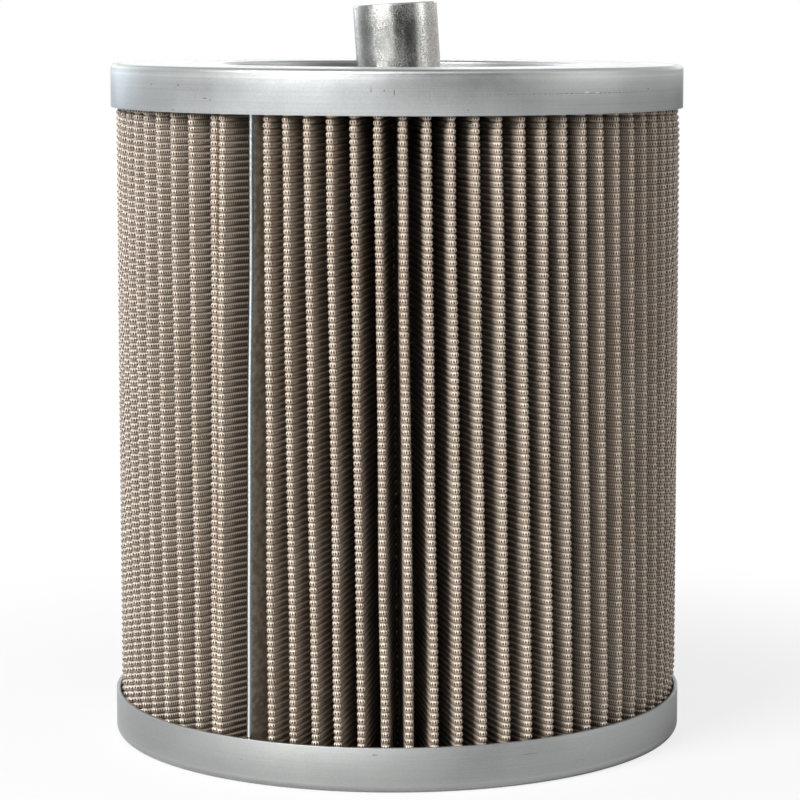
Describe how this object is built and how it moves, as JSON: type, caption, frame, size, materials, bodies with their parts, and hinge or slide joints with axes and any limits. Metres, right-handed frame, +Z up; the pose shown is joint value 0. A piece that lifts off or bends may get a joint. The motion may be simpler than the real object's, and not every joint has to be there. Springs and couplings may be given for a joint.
{
  "type": "pleated filter element",
  "caption": "Round suction strainer element: pleated wire cloth on a perforated tube between pressed end caps, with an outlet bore below and a short guide pipe on top.",
  "frame": {"origin": "on the element's axis, at the underside of the bottom end cap", "axes": "+Z up along the element's axis, from the outlet bore to the guide pipe; the seam clip is 30 degrees left of the front, which is -Y"},
  "size_m": [0.15, 0.15, 0.1928],
  "materials": {
    "zinc_sheet": "satin, zinc coated",
    "wire_cloth": "woven stainless wire",
    "clip_steel": "bright",
    "tube_steel": "satin, punched",
    "potting_resin": "cured resin",
    "pipe_steel": "rough zinc coat",
    "weld_metal": "as welded"
  },
  "bodies": {
    "root": {"top_end_cap": "zinc_sheet", "bottom_end_cap": "zinc_sheet", "pleated_mesh": "wire_cloth", "seam_clip": "clip_steel", "support_tube": "tube_steel", "top_potting": "potting_resin", "bottom_potting": "potting_resin", "guide_pipe": "pipe_steel", "pipe_weld": "weld_metal"}
  },
  "joints": []
}
